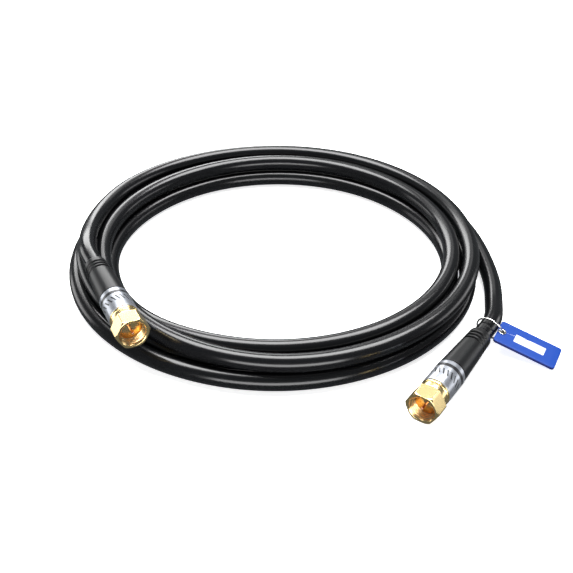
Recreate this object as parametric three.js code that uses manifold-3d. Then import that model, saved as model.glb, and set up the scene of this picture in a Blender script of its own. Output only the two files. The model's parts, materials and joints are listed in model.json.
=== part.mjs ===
// A coaxial patch cable wound into a flat coil, with an F-type plug at each end and a tag on a wire ring.
// Millimetres, +Z up. The model is laid out round the middle of the coil, on the floor, and the whole
// group is then moved so that the origin is the bottom centre of its box.

import * as THREE from 'three';
import * as BufferGeometryUtils from 'three/addons/utils/BufferGeometryUtils.js';
import Module from 'manifold-3d';

const wasm = await Module();
wasm.setup();

// Clearances
const TOUCH_GAP = 0.3; // between pieces that touch each other
const RUNNING_GAP = 0.4; // round the post that a nut spins on

// Cable and coil
const CABLE_DIAMETER = 6.9;
const CABLE_SIDES = 12;
const COIL_RADIUS = 74.4; // from the coil's axis to the middle of the middle lower turn
const LOWER_PITCH = 6.6; // between the lower turns, which press into each other a little
const UPPER_INNER_OFFSET = -3.9; // of the two upper turns, from the middle lower turn
const UPPER_OUTER_OFFSET = 5.1;
const GROOVE_ANGLE = 20; // degrees of each turn's side that the next turn hides
const COIL_SEGMENTS = 60;

// Plug, measured along its axis from the rear end of the boot
const BOOT_LENGTH = 24.5;
const BOOT_REAR_RADIUS = 4.3;
const BOOT_FRONT_RADIUS = 5.5;
const BOOT_EDGE = 0.9; // rounding at the rear end
const BOOT_CORE_RADIUS = 4.7; // the moulding that runs on inside the sleeve
const GROOVE_COUNT = 3;
const GROOVE_START = 3.2;
const GROOVE_PITCH = 1.9;
const GROOVE_WIDTH = 0.8;
const GROOVE_DEPTH = 0.45;
const SLEEVE_LENGTH = 12.0;
const SLEEVE_RADIUS = 5.6;
const COLLAR_LENGTH = 3.4;
const COLLAR_RADIUS = 5.5;
const POST_RADIUS = 3.3;
const FLANGE_RADIUS = 4.2;
const FLANGE_LENGTH = 0.7;
const NUT_FLATS = 11.2; // across flats
const NUT_LENGTH = 6.4;
const NUT_BORE_RADIUS = 4.75;
const NUT_LIP = 1.5; // the wall at the rear that the flange holds
const NUT_CHAMFER = 0.9; // how far the corners are turned down at the front
const CONDUCTOR_RADIUS = 0.51;
const CONDUCTOR_LENGTH = 3.4;
const PLUG_SEGMENTS = 24;

// Where the plugs lie: the rear end of the boot, in coil radii from the coil's axis, and the direction that
// the nut points in
const RIGHT_PLUG_PLACE = [1.0008, -0.7962];
const RIGHT_PLUG_HEADING = [-0.562, -0.827];
const LEFT_PLUG_PLACE = [-0.9375, -0.4456];
const LEFT_PLUG_HEADING = [0.433, -0.901];

// Tag and its ring
const WIRE_RADIUS = 0.35;
const RING_RADIUS = 4.9;
const RING_CLEARANCE = 0.4; // from the ring to the cable at the side away from the tag
const RING_SETBACK = 6.5; // behind the boot
const RING_TILT = 12; // degrees that the ring leans towards the boot
const EYELET_BORE_RADIUS = 0.85;
const EYELET_WALL = 0.25;
const EYELET_FLANGE = 0.3; // how far its rim reaches past its barrel
const EYELET_RIM = 0.15; // thickness of its rim
const EYELET_GAP = 0.12; // between the eyelet and the tag that it is set in
const EYELET_INSET = 1.7; // from the end of the tag to the middle of the eyelet
const TAG_LENGTH = 23.8;
const TAG_WIDTH = 12.2;
const TAG_THICKNESS = 1.2;
const TAG_SWING = 7; // degrees that the tag is turned on its eyelet, away from the boot
const TAG_CORNER = 0.8;

const CABLE_RADIUS = CABLE_DIAMETER / 2;
const CABLE_CORNER = CABLE_RADIUS / Math.cos(Math.PI / CABLE_SIDES);
const LOWER_TURN_RADII = [COIL_RADIUS - LOWER_PITCH, COIL_RADIUS, COIL_RADIUS + LOWER_PITCH];
const UPPER_TURN_RADII = [COIL_RADIUS + UPPER_INNER_OFFSET, COIL_RADIUS + UPPER_OUTER_OFFSET];
const RIGHT_PLUG_REAR = RIGHT_PLUG_PLACE.map((share) => share * COIL_RADIUS);
const LEFT_PLUG_REAR = LEFT_PLUG_PLACE.map((share) => share * COIL_RADIUS);
const LOWER_HEIGHT = CABLE_RADIUS;
const UPPER_HEIGHT = 3 * CABLE_RADIUS;
const COIL_HEIGHT = 4 * CABLE_RADIUS;
const RIGHT_PLUG_HEIGHT = Math.max(SLEEVE_RADIUS, NUT_FLATS / 2);
const LEFT_PLUG_HEIGHT = COIL_HEIGHT + TOUCH_GAP + RIGHT_PLUG_HEIGHT;
const RIGHT_PLUG_LIFT = RIGHT_PLUG_HEIGHT - CABLE_CORNER; // how far the right lead climbs to its plug
const LEFT_PLUG_LIFT = LEFT_PLUG_HEIGHT - UPPER_HEIGHT;

// Materials
const jacketBlack = new THREE.MeshStandardMaterial({ color: 0x101113, roughness: 0.28, metalness: 0 });
const bootBlack = new THREE.MeshStandardMaterial({ color: 0x191a1c, roughness: 0.45, metalness: 0 });
const sleeveSilver = new THREE.MeshStandardMaterial({ color: 0xc9ccd2, roughness: 0.3, metalness: 0.7 });
const platedGold = new THREE.MeshStandardMaterial({ color: 0xd9ae5a, roughness: 0.2, metalness: 1 });
const bareCopper = new THREE.MeshStandardMaterial({ color: 0xc06a3a, roughness: 0.3, metalness: 1 });
const ringSteel = new THREE.MeshStandardMaterial({ color: 0xc8c8c8, roughness: 0.15, metalness: 1 });
const tagBlue = new THREE.MeshStandardMaterial({ color: 0x1f55c4, roughness: 0.4, metalness: 0 });

// Closed solids

// One closed mesh with shared vertices, no flat triangles and its faces pointing out.
function closed(geometry) {
  geometry.deleteAttribute('normal');
  geometry.deleteAttribute('uv');
  const merged = BufferGeometryUtils.mergeVertices(geometry, 1e-4);
  const corners = merged.index.array;
  const kept = [];
  for (let i = 0; i < corners.length; i += 3) {
    const [a, b, c] = [corners[i], corners[i + 1], corners[i + 2]];
    if (a !== b && b !== c && c !== a) kept.push([a, b, c]);
  }
  const position = merged.getAttribute('position');
  const [p, q, r] = [new THREE.Vector3(), new THREE.Vector3(), new THREE.Vector3()];
  let volume = 0;
  for (const [a, b, c] of kept) {
    p.fromBufferAttribute(position, a);
    q.fromBufferAttribute(position, b);
    r.fromBufferAttribute(position, c);
    volume += p.dot(q.cross(r));
  }
  merged.setIndex(kept.flatMap(([a, b, c]) => (volume < 0 ? [a, c, b] : [a, b, c])));
  return merged;
}

function toManifold(geometry) {
  return new wasm.Manifold(
    new wasm.Mesh({
      numProp: 3,
      vertProperties: new Float32Array(geometry.getAttribute('position').array),
      triVerts: new Uint32Array(geometry.index.array),
    }),
  );
}

function fromManifold(body) {
  const mesh = body.getMesh();
  const geometry = new THREE.BufferGeometry();
  geometry.setAttribute('position', new THREE.BufferAttribute(mesh.vertProperties, 3));
  geometry.setIndex(new THREE.BufferAttribute(mesh.triVerts, 1));
  return geometry;
}

// What is left of a body once another is cut from it: its largest piece.
function cutFrom(body, cutter) {
  const pieces = toManifold(body).subtract(toManifold(cutter)).decompose();
  pieces.sort((a, b) => b.volume() - a.volume());
  return fromManifold(pieces[0]);
}

// Turns a profile of [radius, height] points round the Z axis.
function turned(profile, segments) {
  const points = profile.map(([radius, height]) => new THREE.Vector2(radius, height));
  return closed(new THREE.LatheGeometry(points, segments).rotateX(Math.PI / 2));
}

// A section with the cable's sides, its flats on the circle, so that it lies on a flat side.
function tubeAlong(points, steps) {
  const path = new THREE.CatmullRomCurve3(points, false, 'centripetal');
  const section = new THREE.Shape();
  for (let i = 0; i < CABLE_SIDES; i++) {
    const angle = ((i + 0.5) / CABLE_SIDES) * 2 * Math.PI;
    const [x, y] = [CABLE_CORNER * Math.cos(angle), CABLE_CORNER * Math.sin(angle)];
    if (i === 0) section.moveTo(x, y);
    else section.lineTo(x, y);
  }
  return closed(new THREE.ExtrudeGeometry(section, { steps, extrudePath: path, bevelEnabled: false }));
}

// Coil

// The outline of the bundled turns: each turn is an arc, and straight necks join it to the next one.
function coilProfile(grow) {
  const radius = (CABLE_RADIUS + grow) / Math.cos(Math.PI / CABLE_SIDES);
  const lower = LOWER_TURN_RADII.map((r) => [r, LOWER_HEIGHT]);
  const upper = UPPER_TURN_RADII.map((r) => [r, UPPER_HEIGHT]).reverse();
  const turns = [...lower, ...upper];
  const step = (2 * Math.PI) / CABLE_SIDES;
  const outline = [];
  turns.forEach(([r, z], i) => {
    const before = turns.at(i - 1);
    const after = turns[(i + 1) % turns.length];
    const hidden = ([r2, z2]) => {
      const reach = Math.hypot(r2 - r, z2 - z) / 2 / radius;
      return Math.max(THREE.MathUtils.degToRad(GROOVE_ANGLE), Math.acos(Math.min(1, reach)));
    };
    const from = Math.atan2(before[1] - z, before[0] - r) + hidden(before);
    let to = Math.atan2(after[1] - z, after[0] - r) - hidden(after);
    while (to < from) to += 2 * Math.PI;
    const angles = [from];
    const first = Math.ceil((from + step / 4) / step - 0.5);
    for (let k = first; (k + 0.5) * step < to - step / 4; k++) angles.push((k + 0.5) * step);
    angles.push(to);
    for (const angle of angles) outline.push([r + radius * Math.cos(angle), z + radius * Math.sin(angle)]);
  });
  outline.push(outline[0]);
  return outline;
}

const coil = turned(coilProfile(0), COIL_SEGMENTS);
const coilWithClearance = turned(coilProfile(TOUCH_GAP), COIL_SEGMENTS);

// Leads

const vector = (x, y, z) => new THREE.Vector3(x, y, z);

// A point on a plug's axis, a distance in front of the rear end of its boot.
function onPlugAxis([x, y], [headingX, headingY], height, distance) {
  return vector(x + headingX * distance, y + headingY * distance, height);
}

// A point over the coil, by its angle round the coil and its distance from the coil's axis.
function overCoil(degrees, radius, height) {
  const angle = THREE.MathUtils.degToRad(degrees);
  return vector(radius * Math.cos(angle), radius * Math.sin(angle), height);
}

const OUTER_LOWER = LOWER_TURN_RADII.at(-1);
const OUTER_UPPER = UPPER_TURN_RADII.at(-1);

// A point beside the coil, by its shares of the coil's radius across and along, and its lift off the floor.
function besideCoil(across, along, lift) {
  return vector(across * COIL_RADIUS, along * COIL_RADIUS, CABLE_CORNER + lift);
}

// The lead that leaves the coil low down at the back and comes round outside it on the floor.
const rightLead = cutFrom(
  tubeAlong(
    [
      overCoil(35, OUTER_LOWER, CABLE_CORNER),
      overCoil(20, OUTER_LOWER * 1.0185, CABLE_CORNER),
      besideCoil(1.1371, 0.0914, 0),
      besideCoil(1.1573, -0.1452, 0),
      besideCoil(1.1546, -0.3226, 0),
      besideCoil(1.1317, -0.457, RIGHT_PLUG_LIFT * 0.06),
      besideCoil(1.0927, -0.6022, RIGHT_PLUG_LIFT * 0.56),
      onPlugAxis(RIGHT_PLUG_REAR, RIGHT_PLUG_HEADING, RIGHT_PLUG_HEIGHT, -1.2 * CABLE_DIAMETER),
      onPlugAxis(RIGHT_PLUG_REAR, RIGHT_PLUG_HEADING, RIGHT_PLUG_HEIGHT, -0.6 * CABLE_DIAMETER),
      onPlugAxis(RIGHT_PLUG_REAR, RIGHT_PLUG_HEADING, RIGHT_PLUG_HEIGHT, -TOUCH_GAP),
    ],
    26,
  ),
  coilWithClearance,
);

// The lead that lifts off the upper outer turn and runs into the plug on top of the coil.
const leftLead = cutFrom(
  tubeAlong(
    [
      overCoil(120, OUTER_UPPER, UPPER_HEIGHT),
      overCoil(140, OUTER_UPPER, UPPER_HEIGHT + LEFT_PLUG_LIFT * 0.17),
      overCoil(160, OUTER_UPPER, UPPER_HEIGHT + LEFT_PLUG_LIFT * 0.43),
      overCoil(175, OUTER_UPPER, UPPER_HEIGHT + LEFT_PLUG_LIFT * 0.68),
      overCoil(188, OUTER_UPPER * 0.995, UPPER_HEIGHT + LEFT_PLUG_LIFT * 0.87),
      onPlugAxis(LEFT_PLUG_REAR, LEFT_PLUG_HEADING, LEFT_PLUG_HEIGHT, -1.2 * CABLE_DIAMETER),
      onPlugAxis(LEFT_PLUG_REAR, LEFT_PLUG_HEADING, LEFT_PLUG_HEIGHT, -TOUCH_GAP),
    ],
    16,
  ),
  coilWithClearance,
);

// Plug pieces, each along +Z from the rear end of the boot

const SLEEVE_START = BOOT_LENGTH + TOUCH_GAP;
const COLLAR_START = SLEEVE_START + SLEEVE_LENGTH + TOUCH_GAP;
const NUT_START = COLLAR_START + COLLAR_LENGTH + TOUCH_GAP;
const FLANGE_START = NUT_START + NUT_LIP + TOUCH_GAP;
const CONDUCTOR_START = FLANGE_START + FLANGE_LENGTH + TOUCH_GAP;

function bootRadiusAt(distance) {
  return THREE.MathUtils.mapLinear(distance, 0, BOOT_LENGTH, BOOT_REAR_RADIUS, BOOT_FRONT_RADIUS);
}

function makeBoot() {
  const profile = [[0, 0], [BOOT_REAR_RADIUS - BOOT_EDGE, 0]];
  profile.push([bootRadiusAt(BOOT_EDGE) - BOOT_EDGE * 0.3, BOOT_EDGE * 0.3]);
  profile.push([bootRadiusAt(BOOT_EDGE), BOOT_EDGE]);
  for (let i = 0; i < GROOVE_COUNT; i++) {
    const rear = GROOVE_START + i * GROOVE_PITCH;
    const front = rear + GROOVE_WIDTH;
    const slope = GROOVE_WIDTH / 4;
    profile.push([bootRadiusAt(rear), rear]);
    profile.push([bootRadiusAt(rear) - GROOVE_DEPTH, rear + slope]);
    profile.push([bootRadiusAt(front) - GROOVE_DEPTH, front - slope]);
    profile.push([bootRadiusAt(front), front]);
  }
  profile.push([BOOT_FRONT_RADIUS, BOOT_LENGTH], [BOOT_CORE_RADIUS, BOOT_LENGTH]);
  profile.push([BOOT_CORE_RADIUS, SLEEVE_START + SLEEVE_LENGTH], [0, SLEEVE_START + SLEEVE_LENGTH]);
  return turned(profile, PLUG_SEGMENTS);
}

function makeSleeve() {
  const inner = BOOT_CORE_RADIUS + TOUCH_GAP;
  const end = SLEEVE_START + SLEEVE_LENGTH;
  const edge = 0.2;
  return turned(
    [
      [inner, SLEEVE_START],
      [SLEEVE_RADIUS - edge, SLEEVE_START],
      [SLEEVE_RADIUS, SLEEVE_START + edge],
      [SLEEVE_RADIUS, end - edge],
      [SLEEVE_RADIUS - edge, end],
      [inner, end],
      [inner, SLEEVE_START],
    ],
    PLUG_SEGMENTS,
  );
}

// The plated body: its collar shows between the sleeve and the nut, and its post and flange hold the nut.
function makeBody() {
  const collarEnd = COLLAR_START + COLLAR_LENGTH;
  const flangeEnd = FLANGE_START + FLANGE_LENGTH;
  const edge = 0.35;
  return turned(
    [
      [0, COLLAR_START],
      [COLLAR_RADIUS - edge, COLLAR_START],
      [COLLAR_RADIUS, COLLAR_START + edge],
      [COLLAR_RADIUS, collarEnd - edge],
      [COLLAR_RADIUS - edge, collarEnd],
      [POST_RADIUS, collarEnd],
      [POST_RADIUS, FLANGE_START],
      [FLANGE_RADIUS, FLANGE_START],
      [FLANGE_RADIUS, flangeEnd],
      [0, flangeEnd],
    ],
    PLUG_SEGMENTS,
  );
}

// A hexagon with its corners turned down at both ends, bored from the front as far as its rear lip.
function makeNut() {
  const end = NUT_START + NUT_LENGTH;
  const cornerRadius = NUT_FLATS / 2 / Math.cos(Math.PI / 6);
  const hexagon = new THREE.Shape();
  for (let i = 0; i < 6; i++) {
    const angle = (i * Math.PI) / 3;
    const [x, y] = [cornerRadius * Math.cos(angle), cornerRadius * Math.sin(angle)];
    if (i === 0) hexagon.moveTo(x, y);
    else hexagon.lineTo(x, y);
  }
  const prism = new THREE.ExtrudeGeometry(hexagon, { depth: NUT_LENGTH, bevelEnabled: false });
  const rearChamfer = NUT_CHAMFER / 3;
  const frontRadius = cornerRadius - NUT_CHAMFER;
  const outside = turned(
    [
      [0, NUT_START],
      [cornerRadius - rearChamfer, NUT_START],
      [cornerRadius, NUT_START + rearChamfer],
      [cornerRadius, end - NUT_CHAMFER * 0.9],
      [frontRadius, end],
      [0, end],
    ],
    PLUG_SEGMENTS * 2,
  );
  const lipEnd = NUT_START + NUT_LIP;
  const bore = turned(
    [
      [0, NUT_START - 1],
      [POST_RADIUS + RUNNING_GAP, NUT_START - 1],
      [POST_RADIUS + RUNNING_GAP, lipEnd],
      [NUT_BORE_RADIUS, lipEnd],
      [NUT_BORE_RADIUS, end + 1],
      [0, end + 1],
    ],
    PLUG_SEGMENTS,
  );
  const blank = toManifold(closed(prism.translate(0, 0, NUT_START))).intersect(toManifold(outside));
  return fromManifold(blank.subtract(toManifold(bore)));
}

function makeConductor() {
  const end = CONDUCTOR_START + CONDUCTOR_LENGTH;
  const tip = CONDUCTOR_RADIUS * 0.6;
  const profile = [
    [0, CONDUCTOR_START],
    [CONDUCTOR_RADIUS, CONDUCTOR_START],
    [CONDUCTOR_RADIUS, end - tip],
    [CONDUCTOR_RADIUS - tip, end],
    [0, end],
  ];
  return turned(profile, 16);
}

// Tag pieces, with the cable's axis along Z, X pointing from the cable to the tag and Y up

const RING_CENTRE = RING_RADIUS - WIRE_RADIUS - RING_CLEARANCE - CABLE_RADIUS;
const EYELET_PLACE = RING_CENTRE + RING_RADIUS;
const EYELET_BARREL = EYELET_BORE_RADIUS + EYELET_WALL;
const TAG_DROP = RIGHT_PLUG_HEIGHT - TAG_THICKNESS / 2;
const TAG_TURN = THREE.MathUtils.degToRad(TAG_SWING);
const TAG_REACH = (TAG_LENGTH - EYELET_INSET) * Math.cos(TAG_TURN) + (TAG_WIDTH / 2) * Math.sin(TAG_TURN);
const TAG_SLOPE = Math.asin(TAG_DROP / TAG_REACH); // its lowest corner rests on the floor

function makeRing() {
  const ring = new THREE.TorusGeometry(RING_RADIUS, WIRE_RADIUS, 8, 32);
  ring.rotateX(THREE.MathUtils.degToRad(RING_TILT));
  return closed(ring.translate(RING_CENTRE, 0, 0));
}

// The tag and its eyelet lie flat at first, with the eyelet's bore along Y at the origin.
function sloped(geometry) {
  return geometry.rotateY(TAG_TURN).rotateZ(-TAG_SLOPE).translate(EYELET_PLACE, 0, 0);
}

function makeTag() {
  const [x0, x1, y1] = [-EYELET_INSET, TAG_LENGTH - EYELET_INSET, TAG_WIDTH / 2];
  const outline = new THREE.Shape();
  outline.moveTo(x0 + TAG_CORNER, -y1);
  outline.lineTo(x1 - TAG_CORNER, -y1);
  outline.quadraticCurveTo(x1, -y1, x1, -y1 + TAG_CORNER);
  outline.lineTo(x1, y1 - TAG_CORNER);
  outline.quadraticCurveTo(x1, y1, x1 - TAG_CORNER, y1);
  outline.lineTo(x0 + TAG_CORNER, y1);
  outline.quadraticCurveTo(x0, y1, x0, y1 - TAG_CORNER);
  outline.lineTo(x0, -y1 + TAG_CORNER);
  outline.quadraticCurveTo(x0, -y1, x0 + TAG_CORNER, -y1);
  const hole = new THREE.Path();
  hole.absarc(0, 0, EYELET_BARREL + EYELET_GAP, 0, 2 * Math.PI, true);
  outline.holes.push(hole);
  const plate = new THREE.ExtrudeGeometry(outline, {
    depth: TAG_THICKNESS,
    bevelEnabled: false,
    curveSegments: 8,
  });
  plate.translate(0, 0, -TAG_THICKNESS / 2).rotateX(-Math.PI / 2);
  return sloped(closed(plate));
}

function makeEyelet() {
  const half = TAG_THICKNESS / 2 + EYELET_GAP;
  const rim = EYELET_BARREL + EYELET_GAP + EYELET_FLANGE;
  const profile = [
    [EYELET_BORE_RADIUS, -half - EYELET_RIM],
    [rim, -half - EYELET_RIM],
    [rim, -half],
    [EYELET_BARREL, -half],
    [EYELET_BARREL, half],
    [rim, half],
    [rim, half + EYELET_RIM],
    [EYELET_BORE_RADIUS, half + EYELET_RIM],
    [EYELET_BORE_RADIUS, -half - EYELET_RIM],
  ];
  return sloped(turned(profile, 20).rotateX(-Math.PI / 2));
}

// Assembly

const model = new THREE.Group();

function add(parent, name, geometry, material) {
  const mesh = new THREE.Mesh(geometry, material);
  mesh.name = name;
  parent.add(mesh);
}

// A group whose Z axis is the plug's axis, at the rear end of its boot, with its Y axis upright.
function plugFrame([x, y], [headingX, headingY], height) {
  const along = vector(headingX, headingY, 0).normalize();
  const up = vector(0, 0, 1);
  const side = new THREE.Vector3().crossVectors(up, along);
  const frame = new THREE.Group();
  frame.quaternion.setFromRotationMatrix(new THREE.Matrix4().makeBasis(side, up, along));
  frame.position.set(x, y, height);
  return frame;
}

function addPlug(name, rear, heading, height) {
  const plug = plugFrame(rear, heading, height);
  add(plug, `boot_${name}`, makeBoot(), bootBlack);
  add(plug, `sleeve_${name}`, makeSleeve(), sleeveSilver);
  add(plug, `connector_body_${name}`, makeBody(), platedGold);
  add(plug, `hex_nut_${name}`, makeNut(), platedGold);
  add(plug, `center_conductor_${name}`, makeConductor(), bareCopper);
  model.add(plug);
}

add(model, 'cable_coil', coil, jacketBlack);
add(model, 'cable_lead_left', leftLead, jacketBlack);
add(model, 'cable_lead_right', rightLead, jacketBlack);
addPlug('left', LEFT_PLUG_REAR, LEFT_PLUG_HEADING, LEFT_PLUG_HEIGHT);
addPlug('right', RIGHT_PLUG_REAR, RIGHT_PLUG_HEADING, RIGHT_PLUG_HEIGHT);

const hanger = plugFrame(RIGHT_PLUG_REAR, RIGHT_PLUG_HEADING, RIGHT_PLUG_HEIGHT);
hanger.translateZ(-RING_SETBACK);
add(hanger, 'tag_ring', makeRing(), ringSteel);
add(hanger, 'tag_eyelet', makeEyelet(), ringSteel);
add(hanger, 'tag', makeTag(), tagBlue);
model.add(hanger);

// The origin goes to the bottom centre of the model's box.
const whole = new THREE.Box3().setFromObject(model, true);
const middle = whole.getCenter(new THREE.Vector3());
model.position.set(-middle.x, -middle.y, -whole.min.z);

const root = new THREE.Group();
root.add(model);
root.updateMatrixWorld(true);

export default root;
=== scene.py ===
# %% [markdown]
# # A coiled coaxial cable
#
# The object is one black coaxial cable, wound into a flat coil of about four and a half turns. It ends in
# two gold-plated screw-on plugs, and a blue tag hangs behind one of them on a wire ring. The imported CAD
# part gives every place and size. This script dresses it: each CAD piece gets a finer surface on the same
# place, and a finish that is made of shader nodes.

# %% Load the frame
import json

import bpy
import numpy as np
from mathutils import Matrix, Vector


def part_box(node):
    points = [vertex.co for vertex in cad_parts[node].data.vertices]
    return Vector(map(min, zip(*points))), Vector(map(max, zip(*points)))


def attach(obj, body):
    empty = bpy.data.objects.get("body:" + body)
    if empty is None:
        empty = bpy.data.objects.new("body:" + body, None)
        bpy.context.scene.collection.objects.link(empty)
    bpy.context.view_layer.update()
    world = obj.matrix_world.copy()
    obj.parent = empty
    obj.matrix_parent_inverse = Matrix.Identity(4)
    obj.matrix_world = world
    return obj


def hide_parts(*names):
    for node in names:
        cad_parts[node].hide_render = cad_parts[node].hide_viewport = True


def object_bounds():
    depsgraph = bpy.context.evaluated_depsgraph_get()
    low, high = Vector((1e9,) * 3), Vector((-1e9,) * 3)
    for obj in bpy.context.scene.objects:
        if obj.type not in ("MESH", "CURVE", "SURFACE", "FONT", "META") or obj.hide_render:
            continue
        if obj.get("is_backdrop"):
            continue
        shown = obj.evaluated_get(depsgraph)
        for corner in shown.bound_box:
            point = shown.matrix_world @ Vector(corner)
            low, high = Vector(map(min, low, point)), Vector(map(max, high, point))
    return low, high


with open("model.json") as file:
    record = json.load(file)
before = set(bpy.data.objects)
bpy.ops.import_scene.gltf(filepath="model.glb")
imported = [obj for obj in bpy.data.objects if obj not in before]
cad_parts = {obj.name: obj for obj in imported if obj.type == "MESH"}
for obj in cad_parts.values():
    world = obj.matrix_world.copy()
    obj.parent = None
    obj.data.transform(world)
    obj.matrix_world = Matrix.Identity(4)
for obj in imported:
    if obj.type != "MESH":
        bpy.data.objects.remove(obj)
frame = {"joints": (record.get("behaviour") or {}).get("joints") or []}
cad_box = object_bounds()
MM = 0.001

# %% [markdown]
# ## Measures that several pieces share
#
# Lengths are in millimetres until a mesh is written, because that is how a maker thinks of a plug. The
# coil's middle is read from the CAD coil's box, and each plug's axis from the joint that its nut spins on.
# So a change in the CAD part moves the pieces here too.

# %% Coil centre and plug axes
CABLE_DIAMETER = 6.9
CABLE_RADIUS = CABLE_DIAMETER / 2
NUT_MIDDLE = 44.0  # from the rear end of the boot to the middle of the nut

coil_low, coil_high = (np.array(corner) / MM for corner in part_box("cable_coil"))
coil_centre = (coil_low + coil_high) / 2
coil_centre[2] = 0.0


def plug_axes(side):
    """The boot's rear end, and three unit directions as rows: to the side, up and along the plug.

    The side direction is the cross product of up and along, so the three make a right-handed frame.
    """
    joint = next(j for j in frame["joints"] if j["name"] == f"nut_{side}_spin")
    nut_low, nut_high = (np.array(corner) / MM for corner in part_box(f"hex_nut_{side}"))
    along = np.array(joint["axis"], float)
    along /= np.linalg.norm(along)
    up = np.array([0.0, 0.0, 1.0])
    rear = (nut_low + nut_high) / 2 - along * NUT_MIDDLE
    return rear, np.array([np.cross(up, along), up, along])


PLUGS = {side: plug_axes(side) for side in ("left", "right")}
for side, (rear, axes) in PLUGS.items():
    print(side, "boot starts at", rear.round(1), "and points along", axes[2].round(3))

# %% [markdown]
# ## Camera
#
# The photograph looks down at about 35 degrees along +Y. The lens and the distance were found from the
# ellipses of the coil: the far side of a circle looks smaller than the near side by an amount that only
# one distance gives.

# %% Camera
ELEVATION = 35.21
TARGET = coil_centre + [3.26, -19.18, 0.0]
DISTANCE = 367.5
FOCAL_PIXELS = 901.0
FRAME_PIXELS = 573.0
SENSOR = 36.0

slope = np.radians(ELEVATION)
camera_data = bpy.data.cameras.new("camera")
camera_data.sensor_width = SENSOR
camera_data.lens = FOCAL_PIXELS / FRAME_PIXELS * SENSOR
camera_data.clip_start, camera_data.clip_end = 0.01, 20.0
camera = bpy.data.objects.new("camera", camera_data)
camera.location = (TARGET + DISTANCE * np.array([0, -np.cos(slope), np.sin(slope)])) * MM
camera.rotation_euler = (np.pi / 2 - slope, 0, 0)
bpy.context.scene.collection.objects.link(camera)
bpy.context.scene.camera = camera
print("lens", round(camera_data.lens, 1), "mm")

# %% [markdown]
# ## Surfaces from grids
#
# A tube, a turned ring and a nut are all the same thing: rows of points that go round an axis, joined into
# a skin. One helper writes such a grid as a mesh. The columns always close on themselves. The rows close
# too for a ring, and otherwise a single point can close each end.

# %% Grid helper


def add_piece(name, grid, rows_close=False, first_pole=None, last_pole=None, uv=None, sharp=35.0):
    """Makes a mesh from a grid of points, rows x columns x 3, in millimetres.

    Corner (i, j) is joined to (i, j + 1), (i + 1, j + 1) and (i + 1, j), with j counted round. A pole is one
    point that a fan of triangles joins to the first or the last row. uv is rows x columns x 2; its last
    column runs on past the seam by one column's step.
    """
    rows, columns = grid.shape[:2]
    points = grid.reshape(-1, 3)
    row = np.arange(rows if rows_close else rows - 1)[:, None]
    column = np.arange(columns)[None, :]
    next_row, next_column = (row + 1) % rows, (column + 1) % columns
    corners = [row * columns + column, row * columns + next_column,
               next_row * columns + next_column, next_row * columns + column]
    quads = np.stack(np.broadcast_arrays(*corners), -1).reshape(-1, 4)
    faces = quads.tolist()
    loop_row = np.stack(np.broadcast_arrays(row, row, row + 1, row + 1), -1)
    loop_column = np.stack(np.broadcast_arrays(column, column + 1, column + 1, column), -1)
    loop_row, loop_column = np.broadcast_arrays(loop_row, loop_column)
    around = np.arange(columns)
    if first_pole is not None:
        fan = np.stack([np.full(columns, len(points)), (around + 1) % columns, around], 1)
        points = np.vstack([points, first_pole])
        faces += fan.tolist()
    if last_pole is not None:
        start = (rows - 1) * columns
        fan = np.stack([np.full(columns, len(points)), start + around, start + (around + 1) % columns], 1)
        points = np.vstack([points, last_pole])
        faces += fan.tolist()
    mesh = bpy.data.meshes.new(name)
    mesh.from_pydata((points * MM).tolist(), [], faces)
    if uv is not None:
        across = np.concatenate([uv, uv[:, :1] + [1.0, 0.0]], axis=1)
        across = np.concatenate([across, across[:1]], axis=0) if rows_close else across
        flat = across[loop_row, loop_column].reshape(-1, 2)
        layer = mesh.uv_layers.new(name="surface")
        values = np.zeros((len(mesh.loops), 2), np.float32)
        values[: len(flat)] = flat
        layer.data.foreach_set("uv", values.ravel())
    mesh.polygons.foreach_set("use_smooth", np.ones(len(mesh.polygons), bool))
    mesh.set_sharp_from_angle(angle=np.radians(sharp))
    mesh.update()
    piece = bpy.data.objects.new(name, mesh)
    bpy.context.scene.collection.objects.link(piece)
    return piece


def write_attribute(piece, name, values):
    """One number for each grid point, which a shader can read."""
    attribute = piece.data.attributes.new(name, "FLOAT", "POINT")
    attribute.data.foreach_set("value", np.ascontiguousarray(values, np.float32).ravel())


def enclosed_volume(piece):
    """A sixth of the sum of a . (b x c) over the triangles a, b, c. It is positive if they face out."""
    mesh = piece.data
    mesh.calc_loop_triangles()
    places = np.empty(len(mesh.vertices) * 3)
    mesh.vertices.foreach_get("co", places)
    corners = np.empty(len(mesh.loop_triangles) * 3, int)
    mesh.loop_triangles.foreach_get("vertices", corners)
    a, b, c = places.reshape(-1, 3)[corners.reshape(-1, 3)].transpose(1, 0, 2)
    return float(np.einsum("ij,ij->i", a, np.cross(b, c)).sum() / 6 / MM**3)
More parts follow.
